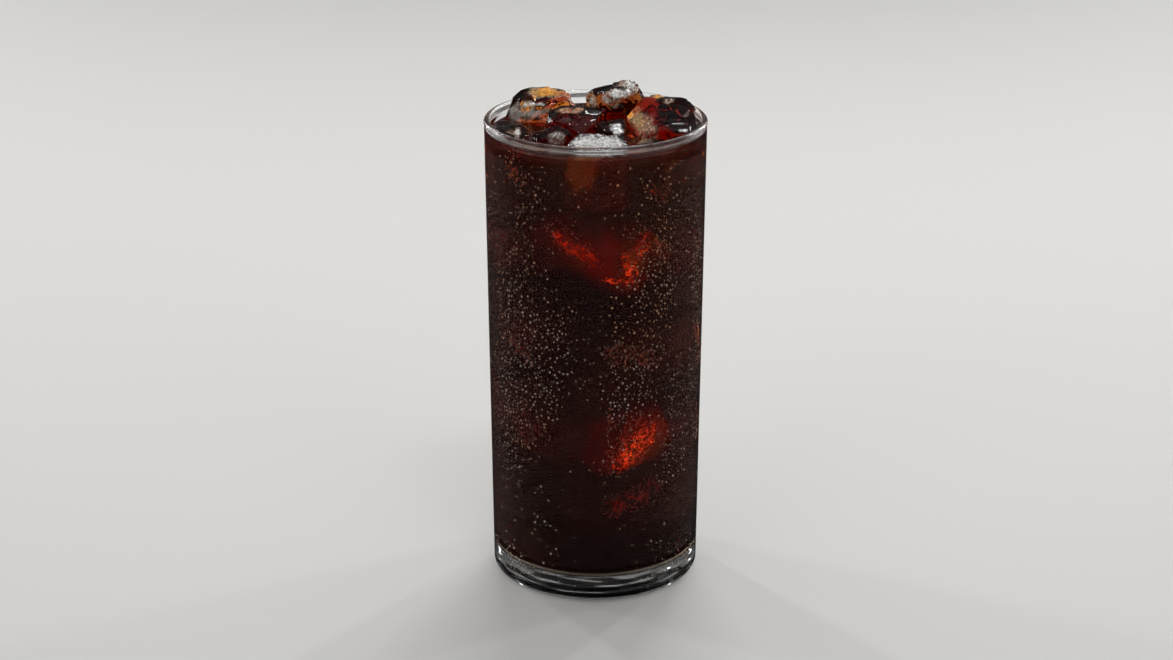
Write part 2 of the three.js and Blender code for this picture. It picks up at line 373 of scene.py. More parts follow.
# Condensation: number of droplets, least and greatest radius, sides, rings
DROPS = {
    "fine_droplets": (2800, 0.15, 0.24, 8, 3),
    "coarse_droplets": (1300, 0.24, 0.36, 12, 4),
}
DROP_SINK = 0.03 * MM
DROP_GAP = 0.35 * MM
DROP_ROOM = 1.2  # times its radius that a droplet keeps free, besides the gap
DROP_LOWEST = 6 * MM
DROP_HIGHEST = 152 * MM
DROP_SIZES = 1.6  # over 1, small ones are more common
DROP_STRETCH = (0.85, 1.3)
DROP_MARGIN = 0.01 * MM  # they stay this far within the lip's radius
DROP_ROUGHNESS = (0.14, 0.22)
DROP_CLEAR = 0.71  # share of light that goes through; the rest is scattered in pale or warm colour, a painted highlight that stands in for the droplets' glints, though lamps light it
DROP_COLOUR_PATCH = 30 * MM
# Colours of the droplets' painted glints, warmer higher up
PALE_DROP = (1, 0.94, 0.88)
WARM_DROP = (1, 0.66, 0.42)
WARM_DROP_FROM = 90 * MM  # they are warmer from here
WARM_DROP_TO = 140 * MM  # to here
DROP_STEEPNESS = 52  # angle at which a droplet meets the glass, in degrees
# Where droplets lie
PATCH_ROUND = 2.2
PATCH_HEIGHT = 34 * MM
PATCH_SHARES = (0.42, 1.1)
PATCH_FILL = 1.6
FOOT_SHARE = 0.08
FOOT_CLEAR_TO = 30 * MM
FOOT_FADE = 40 * MM
TOP_LOSS = 0.6
TOP_CLEAR_FROM = 112 * MM
TOP_FADE = 14 * MM
# Runs wiped bare, as direction and half width in degrees, and what they lose
BARE_RUNS = ((-92, 13), (-8, 10), (40, 12), (118, 12), (196, 12))
BARE_LOSS = 0.8
# Clusters above the foot
FOOT_CLUSTERS = (-146, -34, 40, 140)
CLUSTER_HALF_WIDTH = 15
CLUSTER_HEIGHT = 9 * MM
CLUSTER_HALF_HEIGHT = 7 * MM

# How surfaces vary: noise is stretched between two values, and lifted with height
NOISE_LOW = 0.35
NOISE_HIGH = 0.65
PATCH_FROM = 0.4
PATCH_TO = 0.62
LIFT_LOW = -0.06
LIFT_HIGH = 0.16
FINE_DETAIL = 3
COARSE_DETAIL = 1
SMEAR_LENGTH = 6 * MM
GRAIN = 1 * MM

# The studio, in metres and watts. Lamps: name, place, aim, size, power, whether glass mirrors it
FLOOR_HALF = 3
FLOOR_COLOUR = (0.72, 0.71, 0.69)
FLOOR_PATCH = 30 * MM
FLOOR_ROUGHNESS = (0.78, 0.84)
MIDDLE = (0, 0, 0.09)
NEAR_TOP = (0, 0, 0.15)
LAMPS = [
    ("overhead", (0, 0.1, 1.7), (0, 0.1, 0), (2.2, 2.0), 5.5, True),
    ("key", (0.15, -0.7, 1.4), MIDDLE, (0.45, 0.12), 3.2, True),
    ("behind", (0.06, 0.5, 0.95), NEAR_TOP, (0.34, 0.09), 3.5, False),
    ("glint", (0.14, 0.42, 1.05), NEAR_TOP, (0.1, 0.05), 0.4, True),
    ("strip_left", (-0.84, 1.2, 0.6), MIDDLE, (0.06, 1.0), 4.4, True),
    ("strip_right", (0.84, 1.2, 0.6), MIDDLE, (0.06, 1.0), 4.4, True),
    ("side_left", (-0.9, 0.52, 0.5), MIDDLE, (0.1, 0.65), 1.7, True),
    ("side_right", (0.9, 0.52, 0.5), MIDDLE, (0.1, 0.65), 1.7, True),
    ("front_left", (-0.6, -0.8, 0.6), MIDDLE, (0.5, 0.5), 0.8, False),
    ("front_right", (0.6, -0.8, 0.6), MIDDLE, (0.5, 0.5), 0.8, False),
]
SURROUNDINGS_BELOW = 0.02  # brightness below and above the horizon
SURROUNDINGS_ABOVE = 0.1
HORIZON = 0.05  # half the height over which one fades into the other

# The camera, as the photograph was taken
CAMERA_AT = (-2.96 * MM, -771.7 * MM, 371.4 * MM)
CAMERA_DOWN = 20.39
LENS = 75.23
SENSOR = 36
MIRROR_BOUNCES = 8
GLASS_BOUNCES = 24
SHADOW_STEPS = 32
MOST_INDIRECT = 2

SEED = 11


def outer_radius(z):
    top = RIM_RADIUS - BEAD_PROUD
    return FOOT_RADIUS + (top - FOOT_RADIUS) * (z - FOOT_CORNER) / (HEIGHT - FOOT_CORNER)


def inner_radius(z):
    wall = WALL_AT_FLOOR + (WALL_AT_RIM - WALL_AT_FLOOR) * (z - FLOOR) / (HEIGHT - FLOOR)
    return outer_radius(z) - wall


def clamped(value):
    return min(1.0, max(0.0, value))


def direction_of(point):
    """The direction of a point seen from the axis, in degrees from +X."""
    return math.degrees(math.atan2(point.y, point.x))


def turned(direction, other):
    """The angle from one direction to another, between -180 and 180 degrees."""
    return (direction - other + 180) % 360 - 180


def arc(centre_r, centre_z, radius, start, end, steps):
    """Points of an arc in the radius and height plane, with its angles in degrees."""
    points = []
    for i in range(steps + 1):
        angle = math.radians(start + (end - start) * i / steps)
        points.append((centre_r + radius * math.cos(angle), centre_z + radius * math.sin(angle)))
    return points


def straight(start, end, steps):
    """Points from start to end, without the two ends."""
    points = []
    for i in range(1, steps):
        t = i / steps
        points.append((start[0] + (end[0] - start[0]) * t, start[1] + (end[1] - start[1]) * t))
    return points


def on_wall(direction, z, depth):
    """The point at a height, a direction in degrees and a depth behind the inner wall."""
    radius = inner_radius(z) - depth
    angle = math.radians(direction)
    return Vector((radius * math.cos(angle), radius * math.sin(angle), z))


def add_object(name, mesh):
    piece = bpy.data.objects.new(name, mesh)
    bpy.context.scene.collection.objects.link(piece)
    return piece


def object_from(name, bm, smooth=True):
    mesh = bpy.data.meshes.new(name)
    bm.to_mesh(mesh)
    bm.free()
    for face in mesh.polygons:
        face.use_smooth = smooth
    return add_object(name, mesh)


def lathe(bm, outline, segments):
    """Turns an outline round the Z axis. A point on the axis becomes one vertex, others a ring."""
    rings = []
    for radius, z in outline:
        if radius < ON_AXIS:
            rings.append([bm.verts.new((0, 0, z))])
            continue
        ring = []
        for i in range(segments):
            angle = 2 * math.pi * i / segments
            ring.append(bm.verts.new((radius * math.cos(angle), radius * math.sin(angle), z)))
        rings.append(ring)
    for low, high in zip(rings, rings[1:]):
        for i in range(segments):
            j = (i + 1) % segments
            corners = [low[i % len(low)], low[j % len(low)]]
            corners += [high[j % len(high)], high[i % len(high)]]
            bm.faces.new(list(dict.fromkeys(corners)))
    bmesh.ops.recalc_face_normals(bm, faces=bm.faces)


def applied(piece):
    """Replaces a piece's mesh by what its modifiers make of it."""
    graph = bpy.context.evaluated_depsgraph_get()
    mesh = bpy.data.meshes.new_from_object(piece.evaluated_get(graph))
    piece.modifiers.clear()
    piece.data = mesh


def remeshed(name, source, voxel):
    """A copy of a mesh in even small faces with softened edges."""
    piece = add_object(name, source.copy())
    remesh = piece.modifiers.new("remesh", "REMESH")
    remesh.mode = "VOXEL"
    remesh.voxel_size = voxel
    soften = piece.modifiers.new("soften", "SMOOTH")
    soften.factor = SOFTENING
    soften.iterations = SOFTENING_ROUNDS
    applied(piece)
    return piece


def merged_node(node):
    """The solid's mesh with its doubled corners joined."""
    bm = bmesh.new()
    bm.from_mesh(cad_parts[node].data)
    bmesh.ops.remove_doubles(bm, verts=bm.verts, dist=SAME_POINT)
    bmesh.ops.recalc_face_normals(bm, faces=bm.faces)
    mesh = bpy.data.meshes.new(node + "_closed")
    bm.to_mesh(mesh)
    bm.free()
    return mesh


def direction_at(point):
    """A direction that depends on the place alone, the same in each run."""
    return Vector([noise.noise(point + Vector(shift)) for shift in TILT_SHIFTS]).normalized()


def facets(point, cell, slope):
    """Height of a surface broken into small tilted planes, each as wide as a cell."""
    place = point / cell
    nearest = noise.voronoi(place)[1][0]
    return (place - nearest).dot(direction_at(nearest * TILT_SPREAD)) * slope * cell


def vein(point, cell):
    """0 along the borders of the cells, 1 in their middle."""
    near = noise.voronoi(point / cell)[0]
    return min(1.0, (near[1] - near[0]) * VEIN_EDGE)


def spot_strength(point, spots):
    """How far a point lies inside the crackled spots of a piece, from 0 to 1."""
    strength = 0.0
    for middle, radius, most in spots:
        away = (point - Vector(middle) * MM).length / (radius * MM)
        ragged = away + SPOT_RAGGED * noise.noise(point / SPOT_LENGTH)
        strength = max(strength, most * clamped((EDGE - ragged) * SPOT_EDGE))
    return strength


def stain_share(point, middle, radii):
    """How far a point lies inside a ragged stain, from 0 to 1."""
    away = Vector([(point[i] / MM - middle[i]) / radii[i] for i in range(3)]).length
    ragged = away + STAIN_RAGGED * noise.noise(point / STAIN_LENGTH)
    ragged += STAIN_FRAYED * noise.noise(point / STAIN_FRAY_LENGTH)
    return clamped((EDGE - ragged) * STAIN_EDGE)


def stain_and_glow_ice(piece, tint, stains_and_glows):
    """Notes at each point its colour, how cloudy it is, and how strongly it glows, a painted light
    that stands in for light shining through and for highlights.
    """
    mesh = piece.data
    mesh.attributes.new("shade", "FLOAT_VECTOR", "POINT")
    mesh.attributes.new("cloud", "FLOAT", "POINT")
    mesh.attributes.new("lit", "FLOAT", "POINT")
    shade, cloud, lit, frost = [mesh.attributes[n] for n in ("shade", "cloud", "lit", "frost")]
    for i, vertex in enumerate(mesh.vertices):
        colour = Vector(tint)
        cloudy = FROST_CLOUD * frost.data[i].value
        light = 0.0
        for middle, radii, strength, shine, stained in stains_and_glows:
            share = strength * stain_share(vertex.co, middle, radii)
            amber = stained in (AMBER, GOLD, EMBER)
            dark = AMBER_DARK if amber else CRAZE_DARK
            streaks = dark + (1 - dark) * vein(vertex.co, CRAZE_CELL)
            colour = colour.lerp(Vector(stained), share)
            cloudy = max(cloudy, (AMBER_CLOUD if amber else STAIN_CLOUD) * share * streaks)
            # Painted glow, brightest in the middle of the craze cells
            light = max(light, shine * share * streaks)
        shade.data[i].vector = colour
        cloud.data[i].value = cloudy
        lit.data[i].value = light


def shape_ice(piece, spots, top):
    """Gives ice its broad facets, soft relief and crackled spots, and notes the frost."""
    mesh = piece.data
    normals = [v.normal.copy() for v in mesh.vertices]
    frost = mesh.attributes.new("frost", "FLOAT", "POINT")
    for vertex, normal in zip(mesh.vertices, normals):
        point = vertex.co.copy()
        height = facets(point, CELL, CELL_SLOPE)
        height += SOFT_RELIEF * noise.noise(point / SOFT_LENGTH)
        strength = spot_strength(point, spots)
        if strength > 0:
            height += strength * facets(point, CRACKLE_CELL, CRACKLE_SLOPE)
            frost.data[vertex.index].value = strength * vein(point + FROST_SHIFT, FROST_CELL)
        vertex.co = point + normal * (height - SOFT_RELIEF)
        vertex.co.z = min(vertex.co.z, top)
    mesh.update()


def glass_outline():
    bead_r = RIM_RADIUS - BEAD_RADIUS
    bead_z = HEIGHT - BEAD_RADIUS
    neck_z = bead_z - BEAD_NECK
    corner_z = FLOOR + INSIDE_CORNER
    floor_edge = inner_radius(corner_z) - INSIDE_CORNER
    foot = arc(FOOT_RADIUS - FOOT_CORNER, FOOT_CORNER, FOOT_CORNER, -90, 0, FOOT_STEPS)
    punt = []
    for i in range(PUNT_RINGS + 1):
        share = i / PUNT_RINGS
        ripple = PUNT_RIPPLE * math.sin(share * PUNT_WAVES * 2 * math.pi) * share
        dome = PUNT_DEPTH * (1 - PUNT_FALL * share ** PUNT_ROUNDNESS)
        punt.append((PUNT_RADIUS * share, dome + ripple))
    neck_out = (outer_radius(neck_z), neck_z)
    neck_in = (inner_radius(neck_z), neck_z)
    corner = arc(floor_edge, corner_z, INSIDE_CORNER, 0, -90, CORNER_STEPS)
    return [
        *punt,
        (STANDING_RING, STANDING_RING_LIFT),
        *foot,
        *straight(foot[-1], neck_out, WALL_STEPS),
        neck_out,
        *arc(bead_r, bead_z, BEAD_RADIUS, BEAD_FROM, BEAD_TO, BEAD_STEPS),
        neck_in,
        *straight(neck_in, corner[0], WALL_STEPS),
        *corner,
        (floor_edge * FLAT_SHARE, FLOOR),
        (0, FLOOR),
    ]


def coffee_outline():
    bottom = FLOOR - INTO_GLASS
    corner_z = FLOOR + INSIDE_CORNER
    floor_edge = inner_radius(corner_z) - INSIDE_CORNER
    corner = arc(floor_edge, corner_z, INSIDE_CORNER + INTO_GLASS, -90, 0, CORNER_STEPS)
    edge = inner_radius(LEVEL) + INTO_GLASS
    top = (edge, LEVEL + MENISCUS_RISE)
    outline = [(0, bottom), (floor_edge * FLAT_SHARE, bottom), *corner]
    outline += straight(corner[-1], top, WALL_STEPS)
    rings = int(edge / TOP_RING)
    for i in range(rings):
        inward = edge * i / rings
        wall = max(0.0, inward - INTO_GLASS)
        outline.append((edge - inward, LEVEL + MENISCUS_RISE * math.exp(-wall / MENISCUS_REACH)))
    outline.append((0, LEVEL))
    return outline


def climb_round_ice(bm, pieces):
    """Lifts the drink's surface a little beside the ice."""
    trees = [BVHTree.FromPolygons([v.co for v in p.data.vertices],
                                  [f.vertices for f in p.data.polygons]) for p in pieces]
    for vertex in bm.verts:
        if vertex.co.z < LEVEL - TOP_RING or vertex.co.xy.length > inner_radius(LEVEL):
            continue
        near = min(tree.find_nearest(vertex.co)[3] for tree in trees)
        vertex.co.z += ICE_RISE * math.exp(-near / ICE_RISE_REACH)


def joined(name, meshes):
    bm = bmesh.new()
    for mesh in meshes:
        bm.from_mesh(mesh)
    return object_from(name, bm)


def inset(mesh, depth):
    """Moves every point of a closed mesh inward."""
    moved = [v.co - v.normal * depth for v in mesh.vertices]
    for vertex, place in zip(mesh.vertices, moved):
        vertex.co = place
    return mesh


def sunk_block(size, bm):
    """A rounded block of ice about the origin, added to bm. Returns its vertices."""
    bmesh.ops.create_cube(bm, size=2)
    bmesh.ops.subdivide_edges(bm, edges=bm.edges[:], cuts=SUNK_CUTS, use_grid_fill=True)
    k = SUNK_SQUARENESS
    for vertex in bm.verts:
        co = vertex.co
        reach = sum(abs(c) ** k for c in co) ** (-1 / k)
        vertex.co = Vector((co[i] * reach * size[i] * MM / 2 for i in range(3)))
    return bm.verts


def sunk_mesh(direction, distance, height, size, turn, shrink):
    """One sunk piece in its place, or the smaller hollow that it leaves in the drink."""
    bm = bmesh.new()
    sunk_block(size, bm)
    angle = math.radians(direction)
    place = Vector((distance * math.cos(angle), distance * math.sin(angle), height)) * MM
    spin = Matrix.Rotation(angle, 4, "Z")
    for degrees, axis in zip(turn, "XYZ"):
        spin = spin @ Matrix.Rotation(math.radians(degrees), 4, axis)
    bmesh.ops.transform(bm, matrix=Matrix.Translation(place) @ spin, verts=bm.verts)
    bm.normal_update()
    limit = inner_radius(height * MM) - SUNK_CLEARANCE
    for vertex in bm.verts:
        point = vertex.co.copy()
        relief = SUNK_RELIEF * noise.noise(point / SUNK_RELIEF_LENGTH)
        out = facets(point, CELL, SUNK_SLOPE) + relief - shrink
        vertex.co = point + vertex.normal * out
        radius = vertex.co.xy.length
        if radius > limit - shrink:
            vertex.co.xy *= (limit - shrink) / radius
    bmesh.ops.recalc_face_normals(bm, faces=bm.faces)
    mesh = bpy.data.meshes.new("sunk_piece")
    bm.to_mesh(mesh)
    bm.free()
    return mesh


def shard(bm, place, axis, length, width, draw):
    """A splinter of crazed ice: three corners round an axis, drawn out to a point at both ends."""
    across = axis.orthogonal().normalized()
    along = axis.cross(across)
    tips = [bm.verts.new(place + axis * length / 2), bm.verts.new(place - axis * length / 2)]
    rim = []
    for i in range(3):
        angle = 2 * math.pi * (i + draw.uniform(-SHARD_TWIST, SHARD_TWIST)) / 3
        out = across * math.cos(angle) + along * math.sin(angle)
        skew = axis * length * draw.uniform(-SHARD_SKEW, SHARD_SKEW)
        rim.append(bm.verts.new(place + out * width / 2 + skew))
    for i in range(3):
        j = (i + 1) % 3
        bm.faces.new([rim[i], rim[j], tips[0]])
        bm.faces.new([rim[j], rim[i], tips[1]])
    return tips + rim


def add_glow(bm, layers, glow, draw):
    """Splinters in a band behind the wall, glowing with painted light: bright along its cracks,
    dim and deeper between.
    """
    first, last, low, high, depth, half_width, share, bright, tone = glow
    radius = inner_radius(low * MM)
    run = math.radians(last - first) * radius
    rise = (high - low) * MM
    reach = math.hypot(run, rise)
    slope = math.atan2(rise, run)
    half = half_width * MM
    tries = int((reach + 2 * half) * 2 * half / MM ** 2 * SHARDS_PER_SQUARE_MM)
    for _ in range(tries):
        t = draw.uniform(-half, reach + half) / reach
        s = draw.uniform(-half, half)
        z = low * MM + rise * t + s * math.cos(slope)
        direction = first + (last - first) * t - math.degrees(s * math.sin(slope) / radius)
        place = on_wall(direction, z, depth * MM)
        edge = max(abs(2 * t - 1) - GLOW_END, 0) * GLOW_END_FALL + (s / half) ** 2
        patchy = GLOW_PATCHES[0] + GLOW_PATCHES[1] * noise.noise(place / GLOW_PATCH_LENGTH)
        on_crack = vein(place + CRACK_SHIFT, CRACK_CELL) < CRACK_WIDTH
        kept = share * (GLOW_FULL - edge) * patchy * (1 if on_crack else BETWEEN_SHARE)
        if draw.random() > kept:
            continue
        behind = draw.uniform(*(CRACK_DEPTHS if on_crack else BETWEEN_DEPTHS))
        place = on_wall(direction, z, (depth + behind) * MM)
        axis = Vector([draw.gauss(0, 1) for _ in range(3)]).normalized()
        length = draw.uniform(*SHARD_LENGTH) * MM
        width = length * draw.uniform(*SHARD_SLIMNESS)
        corners = shard(bm, place, axis, length, width, draw)
        level = GLOW_LEVEL * bright * draw.uniform(*SHARD_LIGHT) ** 2
        level *= 1 if on_crack else BETWEEN_LIGHT
        for vertex in corners:
            vertex[layers[0]] = level
            vertex[layers[1]] = Vector(tone)


def crazed_ice():
    bm = bmesh.new()
    bm.verts.layers.float.new("glow")
    bm.verts.layers.float_vector.new("tone")
    layers = (bm.verts.layers.float["glow"], bm.verts.layers.float_vector["tone"])
    draw = random.Random(SEED)
    for glow in GLOWS:
        add_glow(bm, layers, glow, draw)
    return object_from("crazed_ice", bm, smooth=False)


def droplet_density(direction, z):
    """Share of droplets kept at a place: patchy, less near the foot and in a few runs."""
    angle = math.radians(direction)
    across = math.cos(angle) * PATCH_ROUND
    along = math.sin(angle) * PATCH_ROUND
    place = Vector((across, along, z / PATCH_HEIGHT))
    patchy = PATCH_SHARES[0] + PATCH_SHARES[1] * noise.noise(place)
    lower = min(1.0, max(FOOT_SHARE, (z - FOOT_CLEAR_TO) / FOOT_FADE))
    upper = 1 - TOP_LOSS * clamped((z - TOP_CLEAR_FROM) / TOP_FADE)
    bare = 1.0
    for run, width in BARE_RUNS:
        bare *= 1 - BARE_LOSS * math.exp(-((turned(direction, run) / width) ** 2))
    foot = 0.0
    rise = (z - CLUSTER_HEIGHT) / CLUSTER_HALF_HEIGHT
    for cluster in FOOT_CLUSTERS:
        away = turned(direction, cluster) / CLUSTER_HALF_WIDTH
        foot = max(foot, math.exp(-(away ** 2) - rise ** 2))
    return max(0.0, min(1.0, patchy * lower * upper * bare * PATCH_FILL), foot)


def droplet(bm, direction, z, radius, sides, rings, draw):
    """A closed cap of water on the outside of the wall, its base just inside the glass."""
    angle = math.radians(direction)
    out = Vector((math.cos(angle), math.sin(angle), 0))
    side = Vector((-math.sin(angle), math.cos(angle), 0))
    middle = out * (outer_radius(z) - DROP_SINK) + Vector((0, 0, z))
    steep = math.radians(DROP_STEEPNESS)
    ball = radius / math.sin(steep)
    stretch = draw.uniform(*DROP_STRETCH)
    start = draw.uniform(0, 2 * math.pi)
    loops = []
    for k in range(rings):
        lean = steep * (1 - k / rings)
        reach = ball * math.sin(lean)
        height = ball * (math.cos(lean) - math.cos(steep))
        loop = []
        for i in range(sides):
            turn = start + 2 * math.pi * i / sides
            point = middle + side * reach * math.cos(turn) + out * height
            point.z += reach * math.sin(turn) * stretch
            loop.append(bm.verts.new(held_in(point)))
        loops.append(loop)
    top = bm.verts.new(held_in(middle + out * ball * (1 - math.cos(steep))))
    bm.faces.new(reversed(loops[0]))
    for low, high in zip(loops, loops[1:]):
        for i in range(sides):
            j = (i + 1) % sides
            bm.faces.new([low[i], low[j], high[j], high[i]])
    for i in range(sides):
        bm.faces.new([loops[-1][i], loops[-1][(i + 1) % sides], top])


def held_in(point):
    """Keeps a point within the lip's radius."""
    radius = point.xy.length
    most = RIM_RADIUS - DROP_MARGIN
    if radius > most:
        point.xy *= most / radius
    return point


def condensation(name, count, least, most, sides, rings, taken):
    """Droplets spread over the outside, none touching another."""
    bm = bmesh.new()
    draw = random.Random(SEED + count)
    made = 0
    while made < count:
        direction = draw.uniform(-180, 180)
        z = draw.uniform(DROP_LOWEST, DROP_HIGHEST)
        if draw.random() > droplet_density(direction, z):
            continue
        radius = (least + (most - least) * draw.random() ** DROP_SIZES) * MM
        if not taken.free(direction, z, radius):
            continue
        droplet(bm, direction, z, radius, sides, rings, draw)
        made += 1
    return object_from(name, bm)


class Taken:
    """The places on the glass that have a droplet, in a grid of cells."""

    CELL = 1.6 * MM

    def __init__(self):
        self.cells = {}

    def free(self, direction, z, radius):
        """Takes the place and says True if no droplet there is in the way."""
        x = math.radians(direction % 360) * FOOT_RADIUS
        column = int(x / self.CELL)
        row = int(z / self.CELL)
        for i in (column - 1, column, column + 1):
            for j in (row - 1, row, row + 1):
                for other_x, other_z, other in self.cells.get((i, j), []):
                    room = (radius + other) * DROP_ROOM + DROP_GAP
                    if math.hypot(x - other_x, z - other_z) < room:
                        return False
        self.cells.setdefault((column, row), []).append((x, z, radius))
        return True


def material_tree(name):
    """A new material with its node tree, its output node and its main shader."""
    material = bpy.data.materials.new(name)
    material.use_nodes = True
    nodes = material.node_tree.nodes
    shader = nodes["Principled BSDF"]
    return material, nodes, material.node_tree.links, shader, nodes["Material Output"]


def let_lamps_in(nodes, links, shader, output):
    """Shadow rays go straight through, so that lamps light what is inside."""
    path = nodes.new("ShaderNodeLightPath")
    clear = nodes.new("ShaderNodeBsdfTransparent")
    mix = nodes.new("ShaderNodeMixShader")
    links.new(path.outputs["Is Shadow Ray"], mix.inputs["Fac"])
    links.new(shader.outputs["BSDF"], mix.inputs[1])
    links.new(clear.outputs["BSDF"], mix.inputs[2])
    links.new(mix.outputs["Shader"], output.inputs["Surface"])


def noise_between(nodes, links, scale, low, high, socket):
    """Feeds a socket with a noise of a scale in metres, spread between two values."""
    place = nodes.new("ShaderNodeNewGeometry")
    pattern = nodes.new("ShaderNodeTexNoise")
    pattern.inputs["Scale"].default_value = 1 / scale
    pattern.inputs["Detail"].default_value = FINE_DETAIL
    spread = nodes.new("ShaderNodeMapRange")
    spread.inputs["From Min"].default_value = NOISE_LOW
    spread.inputs["From Max"].default_value = NOISE_HIGH
    spread.inputs["To Min"].default_value = low
    spread.inputs["To Max"].default_value = high
    links.new(place.outputs["Position"], pattern.inputs["Vector"])
    links.new(pattern.outputs["Fac"], spread.inputs["Value"])
    links.new(spread.outputs["Result"], socket)


def colours_between(nodes, links, scale, first, second, low, high, socket):
    """Feeds a socket with patches of two colours, more of the second from low to high."""
    place = nodes.new("ShaderNodeNewGeometry")
    pattern = nodes.new("ShaderNodeTexNoise")
    pattern.inputs["Scale"].default_value = 1 / scale
    pattern.inputs["Detail"].default_value = COARSE_DETAIL
    ramp = nodes.new("ShaderNodeValToRGB")
    ramp.color_ramp.elements[0].position = PATCH_FROM
    ramp.color_ramp.elements[0].color = (*first, 1)
    ramp.color_ramp.elements[1].position = PATCH_TO
    ramp.color_ramp.elements[1].color = (*second, 1)
    split = nodes.new("ShaderNodeSeparateXYZ")
    climb = nodes.new("ShaderNodeMapRange")
    climb.inputs["From Min"].default_value = low
    climb.inputs["From Max"].default_value = high
    climb.inputs["To Min"].default_value = LIFT_LOW
    climb.inputs["To Max"].default_value = LIFT_HIGH
    both = nodes.new("ShaderNodeMath")
    both.operation = "ADD"
    links.new(place.outputs["Position"], pattern.inputs["Vector"])
    links.new(place.outputs["Position"], split.inputs["Vector"])
    links.new(split.outputs["Z"], climb.inputs["Value"])
    links.new(pattern.outputs["Fac"], both.inputs[0])
    links.new(climb.outputs["Result"], both.inputs[1])
    links.new(both.outputs["Value"], ramp.inputs["Fac"])
    links.new(ramp.outputs["Color"], socket)


def absorb(nodes, links, output, amounts):
    """Takes light out of what passes through, by amounts for each metre."""
    volume = nodes.new("ShaderNodeVolumeAbsorption")
    volume.inputs["Color"].default_value = (*[1 - a / DENSITY for a in amounts], 1)
    volume.inputs["Density"].default_value = DENSITY
    links.new(volume.outputs["Volume"], output.inputs["Volume"])


def see_through(name, ior, rough, gloss):
    """Clear material. gloss scales how strongly it mirrors when seen square on."""
    material, nodes, links, shader, output = material_tree(name)
    shader.inputs["Base Color"].default_value = (1, 1, 1, 1)
    shader.inputs["Transmission Weight"].default_value = 1
    shader.inputs["IOR"].default_value = ior
    shader.inputs["Specular Tint"].default_value = (gloss, gloss, gloss, 1)
    noise_between(nodes, links, SMEAR_LENGTH, *rough, shader.inputs["Roughness"])
    let_lamps_in(nodes, links, shader, output)
    return material, nodes, links, shader, output


def tint_haze_and_glow(mesh):
    """Notes the colour of the haze at each point of the drink: dark, with warm painted glow near
    the wall and in its warm places.
    """
    tones = mesh.attributes.new("haze", "FLOAT_VECTOR", "POINT")
    for vertex, tone in zip(mesh.vertices, tones.data):
        place = vertex.co
        near_wall = min(1.0, place.xy.length / inner_radius(place.z)) ** HAZE_FADE
        patch = clamped(HAZE_PATCHES[0] + HAZE_PATCHES[1] * noise.noise(place / HAZE_CELL))
        warmth = HAZE_PATCH_WARMTH * patch * near_wall
        colour = Vector(HAZE_DARK).lerp(Vector(HAZE_RED), warmth)
        for middle, height, radius, strength, warm in HAZE_GLOW_PLACES:
            across = math.radians(turned(direction_of(place), middle)) * FOOT_RADIUS
            reach = math.hypot(across, place.z - height * MM) / (radius * MM)
            colour = colour.lerp(Vector(warm), strength * near_wall * math.exp(-reach ** 2))
        tone.vector = colour


def coffee_material():
    """Clear dark liquid with a slight haze of fine grounds; the haze's warm colours are painted
    glow.
    """
    made = see_through("cold_brew", WATER_IOR, SMOOTH, DRINK_GLOSS)
    material, nodes, links, _, output = made
    absorb(nodes, links, output, ABSORB)
    through = output.inputs["Surface"].links[0].from_socket
    haze = nodes.new("ShaderNodeBsdfDiffuse")
    links.new(attribute(nodes, "haze").outputs["Color"], haze.inputs["Color"])
    mix = nodes.new("ShaderNodeMixShader")
    mix.inputs["Fac"].default_value = HAZE
    links.new(through, mix.inputs[1])
    links.new(haze.outputs["BSDF"], mix.inputs[2])
    links.new(mix.outputs["Shader"], output.inputs["Surface"])
    return material


def dark_bottom_material():
    """A near-black opaque coat for the drink's faces at the floor of the glass."""
    material, nodes, links, shader, _ = material_tree("dark_drink_bottom")
    shader.inputs["Base Color"].default_value = (*DARK_BOTTOM_COLOUR, 1)
    noise_between(nodes, links, GRAIN, *DARK_BOTTOM_ROUGHNESS, shader.inputs["Roughness"])
    return material


def attribute(nodes, name):
    node = nodes.new("ShaderNodeAttribute")
    node.attribute_name = name
    return node


def spread_between(nodes, links, source, low, high, socket):
    """Feeds a socket with a value from 0 to 1, spread between two others."""
    spread = nodes.new("ShaderNodeMapRange")
    spread.inputs["To Min"].default_value = low
    spread.inputs["To Max"].default_value = high
    links.new(source, spread.inputs["Value"])
    links.new(spread.outputs["Result"], socket)


def ice_material(name, amounts):
    """Wet ice, cloudy, stained and frosted where the mesh says so, and glowing there with painted
    light.
    """
    material, nodes, links, shader, output = see_through(name, ICE_IOR, SMOOTH, 1)
    for old in list(shader.inputs["Roughness"].links):
        links.remove(old)
    shade = attribute(nodes, "shade")
    frost = attribute(nodes, "frost")
    cloud = attribute(nodes, "cloud")
    lit = attribute(nodes, "lit")
    links.new(shade.outputs["Color"], shader.inputs["Base Color"])
    links.new(shade.outputs["Color"], shader.inputs["Emission Color"])
    links.new(lit.outputs["Fac"], shader.inputs["Emission Strength"])
    rough = shader.inputs["Roughness"]
    spread_between(nodes, links, frost.outputs["Fac"], *ICE_ROUGHNESS, rough)
    clear = shader.inputs["Transmission Weight"]
    spread_between(nodes, links, cloud.outputs["Fac"], 1, 0, clear)
    absorb(nodes, links, output, amounts)
    return material


def crazed_material():
    """White broken ice that catches what light gets in, and glows with a painted light of its own.
    """
    material, nodes, links, shader, _ = material_tree("crazed_ice")
    shader.inputs["Base Color"].default_value = (*SHARD_COLOUR, 1)
    noise_between(nodes, links, GRAIN, *SHARD_ROUGHNESS, shader.inputs["Roughness"])
    level = attribute(nodes, "glow")
    tone = attribute(nodes, "tone")
    links.new(level.outputs["Fac"], shader.inputs["Emission Strength"])
    links.new(tone.outputs["Color"], shader.inputs["Emission Color"])
    return material


